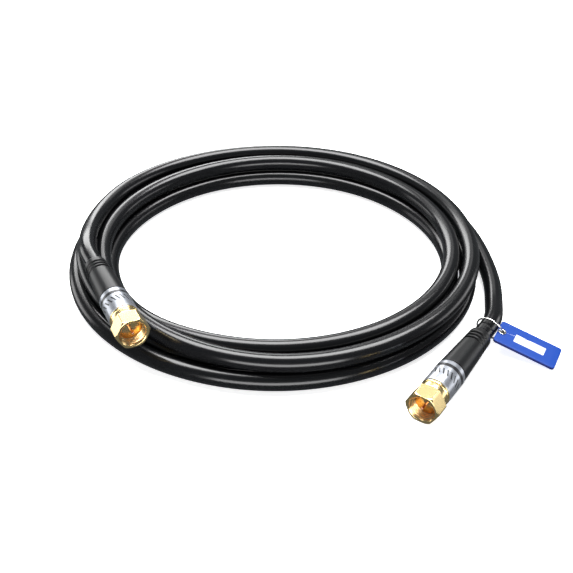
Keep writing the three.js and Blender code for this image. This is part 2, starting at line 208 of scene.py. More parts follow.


# %% [markdown]
# ## The cable's route
#
# A coil wound by hand is never a perfect spiral. Turns climb onto each other, slip down again and lie side
# by side. The route has one row for each turn, with twelve places in a whole turn: the distance from the
# coil's axis and the height. It starts at the left, behind the left plug, and runs clockwise. The places
# were first chosen from the photograph. A separate program then evened them out and pushed the
# turns apart. Two places in three hold what it gave, rounded, and the others differ from that by up to
# 1.4 mm. Most of the cable keeps about a diameter or more from its neighbours, but in places the turns
# sink into each other by up to 1.4 mm. The two leads are given points.

# %% Route of the turns and leads
TURNS = [
    [(77.6, 16.6), (79.2, 13.3), (80.2, 11.4), (80.1, 10.5), (79.7, 10.4), (79.4, 10.4),
     (79.3, 10.4), (79.8, 10.4), (80.0, 10.4), (79.6, 10.2), (76.5, 10.4), (73.0, 10.5)],
    [(72.5, 10.9), (71.3, 10.7), (70.1, 10.5), (69.9, 10.4), (69.9, 10.4), (70.5, 10.4),
     (71.4, 10.4), (71.9, 10.4), (71.6, 10.1), (70.4, 9.1), (69.3, 7.0), (69.6, 3.8)],
    [(70.4, 3.5), (69.4, 3.5), (68.4, 3.5), (67.5, 3.5), (67.7, 3.5), (68.8, 3.5),
     (71.0, 3.5), (72.4, 3.5), (73.6, 3.5), (74.5, 3.5), (75.3, 3.6), (77.3, 6.8)],
    [(80.5, 9.7), (77.3, 6.2), (76.0, 3.8), (75.4, 3.5), (75.7, 3.5), (76.4, 3.5),
     (78.0, 3.5), (80.2, 3.5), (81.2, 3.5), (81.6, 3.5), (82.2, 3.5), (83.2, 3.5)],
    [(83.7, 3.5), (83.8, 3.5), (83.3, 3.5), (83.0, 3.5), (83.4, 3.5), (84.2, 3.5)],
]
PLACES_A_TURN = 12
RIGHT_LEAD = [(84.6, 6.8, 3.5), (86.1, -10.8, 3.5), (85.8, -24.5, 3.6), (83.9, -37.0, 4.0)]
LEFT_LEAD = [(-76.6, -12.5, 18.7)]
INTO_BOOT = 0.4  # how far the cable's end reaches into the boot


def on_plug(side, distance):
    """The point on a plug's axis at that distance in front of the boot's rear end."""
    rear, axes = PLUGS[side]
    return rear + axes[2] * distance


route = [on_plug("left", INTO_BOOT), on_plug("left", -4.1), on_plug("left", -8.3)]
route += [coil_centre + np.array(point) for point in LEFT_LEAD]
for turn, places in enumerate(TURNS):
    for place, (radius, height) in enumerate(places):
        angle = np.pi - 2 * np.pi * (turn + place / PLACES_A_TURN)
        route.append(coil_centre + [radius * np.cos(angle), radius * np.sin(angle), height])
route += [coil_centre + np.array(point) for point in RIGHT_LEAD]
route += [on_plug("right", -8.3), on_plug("right", -4.1), on_plug("right", INTO_BOOT)]
route = np.array(route)
print("route points:", len(route))

# %% [markdown]
# A curve through the points has to bend evenly, or the gloss shows every point as a kink. A natural cubic
# spline does that: its bending changes steadily along it. Its second derivatives come from one set of
# linear equations. The curve is then sampled again at equal steps of its own length.

# %% Smooth centreline


def natural_spline(points, spacing):
    """A natural cubic spline through the points, sampled at equal steps along its length.

    With h the chord lengths, the second derivatives m solve
    h0*m0 + 2*(h0 + h1)*m1 + h1*m2 = 6*(slope1 - slope0) at each inner point, and are zero at the ends.
    """
    chords = np.linalg.norm(np.diff(points, axis=0), axis=1)
    knots = np.concatenate([[0], np.cumsum(chords)])
    count = len(points)
    matrix, right = np.eye(count), np.zeros((count, 3))
    inner = np.arange(1, count - 1)
    matrix[inner, inner - 1], matrix[inner, inner + 1] = chords[:-1], chords[1:]
    matrix[inner, inner] = 2 * (chords[:-1] + chords[1:])
    slopes = np.diff(points, axis=0) / chords[:, None]
    right[inner] = 6 * np.diff(slopes, axis=0)
    bends = np.linalg.solve(matrix, right)

    def at(place):
        i = np.clip(np.searchsorted(knots, place) - 1, 0, count - 2)
        h = chords[i][:, None]
        before, after = (place - knots[i])[:, None], (knots[i + 1] - place)[:, None]
        curve = (bends[i] * after**3 + bends[i + 1] * before**3) / (6 * h)
        to_start = (points[i] / h - bends[i] * h / 6) * after
        to_end = (points[i + 1] / h - bends[i + 1] * h / 6) * before
        return curve + (to_start + to_end)

    fine = np.linspace(0, knots[-1], 20 * count)
    lengths = np.concatenate([[0], np.cumsum(np.linalg.norm(np.diff(at(fine), axis=0), axis=1))])
    steps = int(round(lengths[-1] / spacing))
    return at(np.interp(np.linspace(0, lengths[-1], steps + 1), lengths, fine))


centreline = natural_spline(route, spacing=1.5)
cable_length = np.linalg.norm(np.diff(centreline, axis=0), axis=1).sum()
lowest = centreline[:, 2].min() - CABLE_RADIUS
print("cable length", round(cable_length), "mm, lowest point", round(lowest, 2))

# %% [markdown]
# ## The jacket
#
# The tube is a circle carried along the centreline. At each place the circle stands square to the curve.
# The cable never stands upright, so the sideways direction comes from the up direction, and the tube
# doesn't twist.

# %% Cable tube
SIDES_OF_CABLE = 28


def tube(points, radius, sides):
    """Rows of circles: point + radius * (cos(t) * sideways + sin(t) * over), with t going once round."""
    ahead = np.gradient(points, axis=0)
    ahead /= np.linalg.norm(ahead, axis=1)[:, None]
    sideways = np.cross([0.0, 0.0, 1.0], ahead)
    sideways /= np.linalg.norm(sideways, axis=1)[:, None]
    over = np.cross(ahead, sideways)
    t = np.linspace(0, 2 * np.pi, sides, endpoint=False)[None, :, None]
    return points[:, None] + radius * (np.cos(t) * sideways[:, None] + np.sin(t) * over[:, None])


def surface_uv(rows, columns, length):
    """u runs once round from 0 to 1, and v along the piece, in decimetres."""
    v, u = np.meshgrid(np.linspace(0, length, rows), np.arange(columns) / columns, indexing="ij")
    return np.stack([u, v * MM * 10], -1)


cable_grid = tube(centreline, CABLE_RADIUS, SIDES_OF_CABLE)
cable = add_piece(
    "cable", cable_grid, first_pole=centreline[0], last_pole=centreline[-1],
    uv=surface_uv(len(centreline), SIDES_OF_CABLE, cable_length), sharp=60,
)
print("cable faces", len(cable.data.polygons))

# %% [markdown]
# ## Turned pieces
#
# Boot, sleeve, collar and conductor are turned shapes: a profile of distance along the axis and radius,
# carried round. Real edges are never quite sharp, and a small rounding catches the light, so each corner
# of a profile is replaced by a short curve.

# %% Profiles and turning


def rounded(corners, radius, steps=4, close=False):
    """Replaces a corner B by (1-t)^2 A + 2t(1-t) B + t^2 C, with A and C a radius away on its edges."""
    corners = np.array(corners, float)
    radii = np.broadcast_to(np.asarray(radius, float), len(corners)).copy()
    if not close:
        radii[0] = radii[-1] = 0
    before, after = np.roll(corners, 1, axis=0) - corners, np.roll(corners, -1, axis=0) - corners
    size_before = np.linalg.norm(before, axis=1)[:, None]
    size_after = np.linalg.norm(after, axis=1)[:, None]
    start = corners + before / size_before * np.minimum(radii[:, None], size_before * 0.49)
    end = corners + after / size_after * np.minimum(radii[:, None], size_after * 0.49)
    t = np.linspace(0, 1, steps + 1)[None, :, None]
    curves = (1 - t) ** 2 * start[:, None] + 2 * t * (1 - t) * corners[:, None] + t**2 * end[:, None]
    points = curves.reshape(-1, 2)
    moved = np.linalg.norm(points - np.roll(points, 1, axis=0), axis=1) > 1e-6
    moved[0] = moved[0] or not close
    return points[moved]


def turn(profile, origin, axes, columns=64):
    """Rows of circles round the third axis: origin + r * (cos(t) * first + sin(t) * second) + s * third."""
    profile = np.array(profile, float)
    t = np.linspace(0, 2 * np.pi, columns, endpoint=False)
    around = np.cos(t)[:, None] * axes[0] + np.sin(t)[:, None] * axes[1]
    return origin + profile[:, 0, None, None] * axes[2] + profile[:, 1, None, None] * around


def turned_piece(name, profile, origin, axes, columns=64, sharp=35.0):
    """A turned piece from a profile that runs forward outside, with its ends closed on the axis."""
    profile = np.array(profile, float)
    grid = turn(profile, origin, axes, columns)
    ends = origin + profile[[0, -1], 0, None] * axes[2]
    return add_piece(name, grid, first_pole=ends[0], last_pole=ends[1],
                     uv=surface_uv(len(profile), columns, 1.0), sharp=sharp)


# %% [markdown]
# ## Boots
#
# The boot is a soft moulding that keeps the cable from kinking at the plug. It widens towards the front.
# Three grooves near its rear end let it bend, and a rib along each side, where the mould closed, bridges
# them. The radius is therefore a function of both the place along the boot and the angle round it.

# %% Boots
BOOT_LENGTH = 24.5
BOOT_REAR, BOOT_FRONT, BOOT_CORE = 4.3, 5.5, 4.7
GROOVE_MIDDLES = np.array([3.6, 5.5, 7.4])
GROOVE_HALF = 0.5
GROOVE_DEPTH = 0.8
RIB_ANGLE, RIB_HALF = np.radians(28), 0.16
SEAM_HEIGHT, SEAM_HALF = 0.04, 0.03
REAR_ROUND_DEPTH, REAR_ROUND_LENGTH, FRONT_ROUND = 0.75, 0.9, 0.3
CORE_END = 36.6


def boot_radius(s, angle):
    """Cone + rounded ends - grooves. A groove is exp(-(distance / half width)^4), less at the ribs."""
    cone = BOOT_REAR + (BOOT_FRONT - BOOT_REAR) * np.clip(s / BOOT_LENGTH, 0, 1)
    near_rear = np.clip(1 - s / REAR_ROUND_LENGTH, 0, 1)
    near_front = np.clip(1 - (BOOT_LENGTH - s) / FRONT_ROUND, 0, 1)
    rear_round = REAR_ROUND_DEPTH * (1 - np.sqrt(1 - near_rear**2))
    front_round = FRONT_ROUND * (1 - np.sqrt(1 - near_front**2))
    distance = (s[..., None] - GROOVE_MIDDLES) / GROOVE_HALF
    groove = np.exp(-(distance**4)).sum(-1)
    from_rib = np.sin(angle - RIB_ANGLE)
    rib = np.exp(-((from_rib / RIB_HALF) ** 4))
    has_seam = (s > 0.8) * (s < BOOT_LENGTH - 0.6)
    seam = SEAM_HEIGHT * np.exp(-((from_rib / SEAM_HALF) ** 2)) * has_seam
    return cone - rear_round - front_round - GROOVE_DEPTH * groove * (1 - rib) + seam


def make_boot(side):
    rear, axes = PLUGS[side]
    rounding, grooves = np.linspace(0.0, REAR_ROUND_LENGTH, 8)[:-1], np.arange(REAR_ROUND_LENGTH, 10.0, 0.14)
    plain = np.linspace(10.0, BOOT_LENGTH - 0.35, 14)
    s = np.concatenate([rounding, grooves, plain, np.linspace(BOOT_LENGTH - FRONT_ROUND, BOOT_LENGTH, 6)])
    angle = np.linspace(0, 2 * np.pi, 96, endpoint=False)
    along, around = np.meshgrid(s, angle, indexing="ij")
    radius = boot_radius(along, around)
    core = np.array([[BOOT_LENGTH, BOOT_CORE], [CORE_END, BOOT_CORE]])
    along = np.vstack([along, np.repeat(core[:, :1], len(angle), axis=1)])
    radius = np.vstack([radius, np.repeat(core[:, 1:], len(angle), axis=1)])
    around = np.vstack([around, around[:2]])
    outward = np.cos(around)[..., None] * axes[0] + np.sin(around)[..., None] * axes[1]
    grid = rear + along[..., None] * axes[2] + radius[..., None] * outward
    return add_piece(f"boot_cover_{side}", grid, first_pole=rear, last_pole=rear + axes[2] * CORE_END,
                     uv=surface_uv(len(along), len(angle), CORE_END), sharp=50)


boots = {side: make_boot(side) for side in PLUGS}
print("boot volume", round(enclosed_volume(boots["left"])), "cubic mm")

# %% [markdown]
# ## Sleeves and collars
#
# The sleeve is a thin silver band pressed over the front of the moulding. The gold collar in front of it
# belongs to the plug's body. A post goes from it through the back of the nut, and a flange on the post
# holds the nut and lets it spin.

# %% Sleeves and plug bodies
SLEEVE_START, SLEEVE_END, SLEEVE_RADIUS, SLEEVE_BORE = 24.8, 36.8, 5.6, 4.95
COLLAR_START, COLLAR_END, COLLAR_RADIUS = 36.95, 40.5, 5.5
POST_RADIUS, FLANGE_START, FLANGE_END, FLANGE_RADIUS = 3.3, 42.6, 43.3, 4.2
SLEEVE_PROFILE = [
    (SLEEVE_START, SLEEVE_BORE), (SLEEVE_START, SLEEVE_RADIUS),
    (SLEEVE_END, SLEEVE_RADIUS), (SLEEVE_END, SLEEVE_BORE),
]
BODY_PROFILE = [
    (COLLAR_START, 0.5), (COLLAR_START, COLLAR_RADIUS), (COLLAR_START + 0.95, COLLAR_RADIUS),
    (COLLAR_START + 1.1, COLLAR_RADIUS - 0.35), (COLLAR_START + 1.3, COLLAR_RADIUS - 0.1),
    (COLLAR_END, COLLAR_RADIUS - 0.1), (COLLAR_END, POST_RADIUS), (FLANGE_START, POST_RADIUS),
    (FLANGE_START, FLANGE_RADIUS), (FLANGE_END, FLANGE_RADIUS), (FLANGE_END, 0.5),
]


def make_sleeve(side):
    """A closed ring, with v running from 0 at its rear edge to 1 at its front edge."""
    profile = rounded(SLEEVE_PROFILE, [0.05, 0.28, 0.28, 0.05], close=True)
    grid = turn(profile, *PLUGS[side], columns=96)
    share = (profile[:, 0] - SLEEVE_START) / (SLEEVE_END - SLEEVE_START)
    v, u = np.meshgrid(share, np.arange(96) / 96, indexing="ij")
    return add_piece(f"sleeve_band_{side}", grid, rows_close=True, uv=np.stack([u, v], -1), sharp=50)


def make_body(side):
    profile = rounded(BODY_PROFILE, [0, 0.3, 0.3, 0.1, 0.25, 0.25, 0.2, 0.1, 0.15, 0.15, 0])
    return turned_piece(f"plug_body_{side}", profile, *PLUGS[side], columns=96)


sleeves = {side: make_sleeve(side) for side in PLUGS}
plug_bodies = {side: make_body(side) for side in PLUGS}
print("sleeve volume", round(enclosed_volume(sleeves["left"])), "cubic mm")
print("body volume", round(enclosed_volume(plug_bodies["left"])), "cubic mm")

# %% [markdown]
# ## Hex nuts
#
# A nut starts as a hexagonal bar. A lathe then turns its corners down at a slant, which leaves the curved
# edges on each flat, and cuts the bore and its thread. In numbers, its radius is the smaller one of the
# hexagon's and the lathe tool's, at every angle and place. The thread is a ridge whose place along the
# bore shifts by one pitch for each time round.

# %% Hex nuts
NUT_START, NUT_END, NUT_FLATS = 40.8, 47.2, 11.2
NUT_LIP_END, NUT_BORE, POST_HOLE = 42.3, 4.75, 3.7
THREAD_PITCH = 25.4 / 32
THREAD_DEPTH = 0.5
HEXAGON_POWER, TOOL_POWER = 70.0, 90.0
NUT_CORNER = NUT_FLATS / 2 / np.cos(np.pi / 6)
FRONT_CHAMFER, REAR_CHAMFER, BORE_STEPS = 0.6, 0.7, 60


def hexagon_radius(angle):
    """apothem / (sum of |cos(angle - flat)|^p)^(1/p) over three directions of flats: rounded corners."""
    flats = np.radians([30.0, 90.0, 150.0])
    share = np.abs(np.cos(angle[..., None] - flats)) ** HEXAGON_POWER
    return NUT_FLATS / 2 / share.sum(-1) ** (1 / HEXAGON_POWER)


def nut_columns(per_flat=28):
    """Angles that crowd towards the corners: middle of the flat + 30 degrees * sin(quarter turn's share)."""
    share = np.linspace(-1, 1, per_flat, endpoint=False)
    in_flat = 30 * np.sin(share * np.pi / 2)
    return np.radians((30 + 60 * np.arange(6)[:, None] + in_flat).ravel())


def nut_profile():
    """The lathe tool's path: back, outside, front, down the bore in fine steps, lip and post hole."""
    clear = NUT_CORNER + 0.1
    outside = rounded(
        [(NUT_START, POST_HOLE), (NUT_START, NUT_CORNER - REAR_CHAMFER), (NUT_START + 0.4, clear),
         (NUT_END - 0.75, clear), (NUT_END, NUT_CORNER - FRONT_CHAMFER), (NUT_END, NUT_BORE + 0.3),
         (NUT_END - 0.3, NUT_BORE)],
        [0, 0.3, 0.2, 0.2, 0.22, 0.1, 0],
    )
    depths = np.linspace(NUT_END - 0.36, NUT_LIP_END + 0.06, BORE_STEPS)
    bore = np.column_stack([depths, np.full(BORE_STEPS, NUT_BORE)])
    lip = rounded([(NUT_LIP_END, NUT_BORE), (NUT_LIP_END, POST_HOLE), (NUT_START, POST_HOLE)], [0, 0.1, 0])
    return np.vstack([outside, bore, lip[:-1]])


def make_nut(side):
    """The radius is (hexagon^-p + tool^-p)^(-1/p), a soft form of the smaller of the two, less the thread.

    The number in_bore is 0 outside and 1 deep in the bore, and lower on the ridges of the thread. The gold
    finish paints shade into the bore with it, darkest in the thread's grooves.
    """
    rear, axes = PLUGS[side]
    profile, angle = nut_profile(), nut_columns()
    s, tool = profile[:, :1], profile[:, 1:]
    radius = (hexagon_radius(angle)[None] ** -TOOL_POWER + tool**-TOOL_POWER) ** (-1 / TOOL_POWER)
    in_bore = np.clip((s - NUT_LIP_END - 0.3) / 0.5, 0, 1) * np.clip((NUT_END - 0.3 - s) / 0.6, 0, 1)
    in_bore = in_bore * (np.abs(tool - NUT_BORE) < 1e-6)
    wave = 0.5 + 0.5 * np.cos(2 * np.pi * s / THREAD_PITCH - angle[None])
    radius = radius - THREAD_DEPTH * in_bore * wave**1.5
    around = np.cos(angle)[:, None] * axes[0] + np.sin(angle)[:, None] * axes[1]
    grid = rear + s[:, None] * axes[2] + radius[..., None] * around
    share = (s - NUT_START) / (NUT_END - NUT_START)
    u = np.repeat((angle / (2 * np.pi))[None], len(s), axis=0)
    uv = np.stack([u, np.repeat(share, len(angle), axis=1)], -1)
    nut = add_piece(f"nut_{side}", grid, rows_close=True, uv=uv, sharp=40)
    # Painted shade: this number turns the gold redder and darker deep in the bore and in the thread's
    # grooves.
    depth = np.clip((NUT_END - s) / 1.2, 0, 1) * (tool < NUT_BORE + 0.2) * (s > NUT_START + 0.1)
    write_attribute(nut, "in_bore", depth * (1 - 0.85 * in_bore * wave))
    return nut


nuts = {side: make_nut(side) for side in PLUGS}
print("nut faces", len(nuts["left"].data.polygons), "volume", round(enclosed_volume(nuts["left"])))

# %% [markdown]
# ## Centre conductors
#
# The copper wire that carries the signal is the cable's own core, cut to length. It stands up in the
# middle of the nut.

# %% Conductors
WIRE_START, WIRE_END, CONDUCTOR_RADIUS = 43.25, 47.0, 0.51
CONDUCTOR_PROFILE = [(WIRE_START, 0.1), (WIRE_START, CONDUCTOR_RADIUS), (WIRE_END - 0.3, CONDUCTOR_RADIUS),
                     (WIRE_END, 0.22), (WIRE_END, 0.05)]


def make_conductor(side):
    profile = rounded(CONDUCTOR_PROFILE, [0, 0.05, 0.2, 0.1, 0])
    return turned_piece(f"conductor_{side}", profile, *PLUGS[side], columns=32)


conductors = {side: make_conductor(side) for side in PLUGS}

# %% [markdown]
# ## Ring, eyelet and tag
#
# A ring of springy wire goes round the cable behind the right boot. Its ends meet under the cable, so it
# can be opened. The tag hangs from it by an eyelet and rests on the floor with its far end, so it slopes.

# %% Places of the ring and the tag
RING_RADIUS, WIRE_RADIUS, RING_CENTRE, RING_SETBACK = 4.9, 0.35, 0.7, 6.5
RING_TILT, RING_GAP, RING_OPENING, TAG_SWING = np.radians([12.0, 2.5, 115.0, 7.0])
RING_STEPS, WIRE_SIDES = 121, 16
TAG_LENGTH, TAG_WIDTH, TAG_THICKNESS, EYELET_INSET = 23.8, 12.2, 1.2, 1.7
right_rear, right_axes = PLUGS["right"]
hanger = right_rear - right_axes[2] * RING_SETBACK
sideways, upright, along_plug = right_axes
tag_reach = (TAG_LENGTH - EYELET_INSET) * np.cos(TAG_SWING) + TAG_WIDTH / 2 * np.sin(TAG_SWING)
tag_slope = np.arcsin((right_rear[2] - TAG_THICKNESS / 2) / tag_reach)
eyelet_place = hanger + sideways * (RING_CENTRE + RING_RADIUS)
downhill = sideways * np.cos(tag_slope) - upright * np.sin(tag_slope)
tag_along = downhill * np.cos(TAG_SWING) - along_plug * np.sin(TAG_SWING)
tag_across = downhill * np.sin(TAG_SWING) + along_plug * np.cos(TAG_SWING)
tag_over = sideways * np.sin(tag_slope) + upright * np.cos(tag_slope)


def make_ring():
    """A circle of wire across the cable, leaned over by the tilt: centre + R * (cos, tilted sin)."""
    t = np.linspace(RING_GAP / 2, 2 * np.pi - RING_GAP / 2, RING_STEPS) - RING_OPENING
    leaned = upright * np.cos(RING_TILT) + along_plug * np.sin(RING_TILT)
    out = np.cos(t)[:, None] * sideways + np.sin(t)[:, None] * leaned
    normal = np.cross(sideways, leaned)
    path = hanger + sideways * RING_CENTRE + RING_RADIUS * out
    v = np.linspace(0, 2 * np.pi, WIRE_SIDES, endpoint=False)
    across = np.cos(v)[None, :, None] * out[:, None] + np.sin(v)[None, :, None] * -normal
    grid = path[:, None] + WIRE_RADIUS * across
    return add_piece("wire_ring", grid, first_pole=path[0], last_pole=path[-1],
                     uv=surface_uv(RING_STEPS, WIRE_SIDES, 2 * np.pi * RING_RADIUS), sharp=50)


def make_eyelet():
    """A barrel with a rim at each end: a closed ring turned round the tag's own thickness direction."""
    rim, barrel, bore, half, lip = 1.52, 1.10, 0.85, 0.72, 0.15
    corners = [(-half - lip, bore), (-half - lip, rim), (-half, rim), (-half, barrel), (half, barrel),
               (half, rim), (half + lip, rim), (half + lip, bore)]
    profile = rounded(corners, [0.12, 0.1, 0.05, 0.03, 0.03, 0.05, 0.1, 0.12], close=True)
    grid = turn(profile, eyelet_place, np.array([tag_across, tag_along, tag_over]), columns=48)
    return add_piece("eyelet_rim", grid, rows_close=True, uv=surface_uv(len(profile), 48, 1.0), sharp=50)


wire_ring, eyelet = make_ring(), make_eyelet()
print("ring volume", round(enclosed_volume(wire_ring), 1), "eyelet volume", round(enclosed_volume(eyelet), 1))

# %% [markdown]
# The tag is a plate with a hole. Each column of its grid starts at the hole, runs out over the top to the
# outline, round the rounded edge, and back underneath to the hole. So the plate needs no boolean.

# %% Tag
TAG_CORNER, TAG_EDGE, HOLE_RADIUS = 1.2, 0.22, 1.22


def tag_outline(per_corner=7, per_side=10):
    """Points of a rounded rectangle and their outward normals, seen from the eyelet's middle."""
    low = np.array([-EYELET_INSET, -TAG_WIDTH / 2])
    high = low + [TAG_LENGTH, TAG_WIDTH]
    inner_low, inner_high = low + TAG_CORNER, high - TAG_CORNER
    centres = np.array([inner_high, [inner_low[0], inner_high[1]], inner_low, [inner_high[0], inner_low[1]]])
    turn_by = np.linspace(0, np.pi / 2, per_corner)
    angle = turn_by[None] + np.arange(4)[:, None] * np.pi / 2
    normals = np.stack([np.cos(angle), np.sin(angle)], -1)
    corners = centres[:, None] + TAG_CORNER * normals
    share = np.linspace(0, 1, per_side + 2)[1:-1][None, :, None]
    sides = corners[:, -1:] * (1 - share) + np.roll(corners, -1, axis=0)[:, :1] * share
    side_normals = np.repeat(normals[:, -1:], per_side, axis=1)
    points = np.concatenate([corners, sides], axis=1).reshape(-1, 2)
    return points, np.concatenate([normals, side_normals], axis=1).reshape(-1, 2)


def make_tag():
    outline, normals = tag_outline()
    outward = outline / np.linalg.norm(outline, axis=1)[:, None]
    hole = outward * HOLE_RADIUS
    half = TAG_THICKNESS / 2
    reach = np.linspace(0, 1, 9)[1:]
    turn_by = np.linspace(np.pi / 2, -np.pi / 2, 9)[1:-1]
    flat_outline = outline - normals * TAG_EDGE
    top = hole[None] * (1 - reach[:, None, None]) + flat_outline[None] * reach[:, None, None]
    edge = flat_outline[None] + normals[None] * (TAG_EDGE * np.cos(turn_by))[:, None, None]
    rows = np.concatenate([hole[None], top, edge, top[::-1], hole[None]])
    edge_height = np.sign(turn_by) * (half - TAG_EDGE) + TAG_EDGE * np.sin(turn_by)
    height = np.concatenate([[half], np.full(8, half), edge_height, np.full(8, -half), [-half]])
    grid = eyelet_place + rows[..., :1] * tag_along + rows[..., 1:] * -tag_across
    grid = grid + height[:, None, None] * tag_over
    uv = np.stack([(rows[..., 0] + EYELET_INSET) / TAG_LENGTH, rows[..., 1] / TAG_WIDTH + 0.5], -1)
    plate = add_piece("cable_tag", grid[::-1], rows_close=True, uv=uv[::-1], sharp=50)
    write_attribute(plate, "height", np.repeat(height[::-1] / half, len(outline)))
    return plate


tag = make_tag()
print("tag volume", round(enclosed_volume(tag)), "cubic mm")

# %% [markdown]
# ## Finishes
#
# Every finish is a Principled shader with small nodes round it. The patterns follow the object's own
# coordinates or the piece's own surface coordinates, so they stay put when a piece moves.

# %% Shader helpers


def new_finish(name, colour, roughness, metallic=0.0, **sockets):
    """A material with a Principled shader. Colour is linear red, green and blue."""
    material = bpy.data.materials.new(name)
    material.use_nodes = True
    shader = material.node_tree.nodes["Principled BSDF"]
    shader.inputs["Base Color"].default_value = (*colour, 1)
    shader.inputs["Roughness"].default_value = roughness
    shader.inputs["Metallic"].default_value = metallic
    for socket, value in sockets.items():
        shader.inputs[socket.replace("_", " ")].default_value = value
    return material, material.node_tree, shader


def node(tree, kind, **values):
    """A shader node with some of its properties or inputs set."""
    made = tree.nodes.new(kind)
    for key, value in values.items():
        if hasattr(made, key):
            setattr(made, key, value)
        else:
            made.inputs[key.replace("_", " ")].default_value = value
    return made


def stretched_noise(tree, source, scale, detail=3.0, factor=(1.0, 1.0, 1.0)):
    """Noise on object or surface coordinates that are first stretched along each direction."""
    coordinates = node(tree, "ShaderNodeTexCoord")
    mapping = node(tree, "ShaderNodeMapping")
    mapping.inputs["Scale"].default_value = factor
    noise = node(tree, "ShaderNodeTexNoise", Scale=scale, Detail=detail)
    tree.links.new(coordinates.outputs[source], mapping.inputs["Vector"])
    tree.links.new(mapping.outputs["Vector"], noise.inputs["Vector"])
    return noise.outputs["Fac"]


def spread(tree, value, low, high):
    """Maps noise, which mostly lies between 0.3 and 0.7, onto low to high."""
    ramp = node(tree, "ShaderNodeMapRange")
    for socket, number in zip(("From Min", "From Max", "To Min", "To Max"), (0.3, 0.7, low, high)):
        ramp.inputs[socket].default_value = number
    tree.links.new(value, ramp.inputs["Value"])
    return ramp.outputs["Result"]


def calculate(tree, operation, first, second=0.0):
    """One math node, with sockets or numbers as its inputs."""
    made = node(tree, "ShaderNodeMath", operation=operation)
    for socket, value in zip(made.inputs, (first, second)):
        if isinstance(value, (int, float)):
            socket.default_value = value
        else:
            tree.links.new(value, socket)
    return made.outputs["Value"]


def between(tree, value, low, high):
    """1 where low < value < high, else 0."""
    above = calculate(tree, "GREATER_THAN", value, low)
    return calculate(tree, "MULTIPLY", above, calculate(tree, "LESS_THAN", value, high))


def mixed(tree, factor, first, second):
    """The first colour where the factor is 0 and the second where it is 1. The first may be a socket."""
    mix = node(tree, "ShaderNodeMix", data_type="RGBA")
    if isinstance(first, tuple):
        mix.inputs["A"].default_value = (*first, 1)
    else:
        tree.links.new(first, mix.inputs["A"])
    mix.inputs["B"].default_value = (*second, 1)
    tree.links.new(factor, mix.inputs["Factor"])
    return mix.outputs["Result"]


def surface_coordinates(tree):
    """The two coordinates of the piece's own surface, as sockets."""
    surface = node(tree, "ShaderNodeUVMap", uv_map="surface")
    split = node(tree, "ShaderNodeSeparateXYZ")
    tree.links.new(surface.outputs["UV"], split.inputs["Vector"])
    return split.outputs["X"], split.outputs["Y"]


def read_attribute(tree, name):
    """A number that was written on the points of the mesh."""
    return node(tree, "ShaderNodeAttribute", attribute_name=name).outputs["Fac"]


def add_bump(tree, shader, height, strength, distance):
    """Tilts the surface by a height map. Distance is the height in metres."""
    bump = node(tree, "ShaderNodeBump", Strength=strength, Distance=distance)
    tree.links.new(height, bump.inputs["Height"])
    tree.links.new(bump.outputs["Normal"], shader.inputs["Normal"])


def dress(piece, material, body, slot, *replaced):
    """Gives a piece its finish and its body, and hides the CAD nodes that it stands for. The slot is not
    used.
    """
    piece.data.materials.clear()
    piece.data.materials.append(material)
    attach(piece, body)
    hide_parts(*replaced)


# %% [markdown]
# The jacket is extruded PVC. Its gloss has faint lines along the cable, from the die that it was drawn
# through, and a slight unevenness from the braid beneath.

# %% Jacket
jacket, tree, shader = new_finish("jacket_pvc", (0.0025, 0.0027, 0.0032), 0.22, Specular_IOR_Level=0.5)
drawn = stretched_noise(tree, "UV", 4.0, 1.0, (3.0, 0.2, 1.0))
tree.links.new(spread(tree, drawn, 0.21, 0.23), shader.inputs["Roughness"])
uneven = stretched_noise(tree, "Object", 260.0, 2.0)
add_bump(tree, shader, uneven, 0.01, 0.0002)
dress(cable, jacket, "cable", "jacket", "cable_coil", "cable_lead_left", "cable_lead_right")

# %% [markdown]
# The boots are moulded from a duller grade, with the fine grain of the mould.

# %% Boots
boot_finish, tree, shader = new_finish("boot_pvc", (0.004, 0.0042, 0.0046), 0.36, Specular_IOR_Level=0.35)
grain = stretched_noise(tree, "Object", 2600.0, 3.0)
tree.links.new(spread(tree, grain, 0.33, 0.4), shader.inputs["Roughness"])
add_bump(tree, shader, grain, 0.25, 0.00005)
for side, piece in boots.items():
    dress(piece, boot_finish, "cable", "boot", f"boot_{side}")

# %% [markdown]
# The sleeve is satin silver, brushed round its axis. A black band is printed near its rear edge. In front
# of that stands a row of plain slanted ticks. Both come from the sleeve's own coordinates: u goes once
# round it, and v from its rear edge to its front edge.

# %% Sleeves
SILVER, INK, SLEEVE_METALLIC = (0.42, 0.44, 0.48), (0.012, 0.012, 0.014), 0.85
BAND_LOW, BAND_HIGH = 0.16, 0.29
TICKS_LOW, TICKS_HIGH, TICK_COUNT, TICK_LEAN, TICK_SHARE = 0.42, 0.66, 22.0, 3.0, 0.36

sleeve_finish, tree, shader = new_finish("sleeve_satin", SILVER, 0.3, metallic=SLEEVE_METALLIC)
u, v = surface_coordinates(tree)
band = between(tree, v, BAND_LOW, BAND_HIGH)
lean = calculate(tree, "MULTIPLY", v, TICK_LEAN)
lean = calculate(tree, "ADD", calculate(tree, "MULTIPLY", u, TICK_COUNT), lean)
tick = calculate(tree, "LESS_THAN", calculate(tree, "FRACT", lean), TICK_SHARE)
ticks = calculate(tree, "MULTIPLY", tick, between(tree, v, TICKS_LOW, TICKS_HIGH))
ink = calculate(tree, "MAXIMUM", band, ticks)
tree.links.new(mixed(tree, ink, SILVER, INK), shader.inputs["Base Color"])
lost = calculate(tree, "MULTIPLY", ink, SLEEVE_METALLIC)
tree.links.new(calculate(tree, "SUBTRACT", SLEEVE_METALLIC, lost), shader.inputs["Metallic"])
brushed = stretched_noise(tree, "UV", 12.0, 3.0, (1.0, 40.0, 1.0))
tree.links.new(spread(tree, brushed, 0.24, 0.38), shader.inputs["Roughness"])
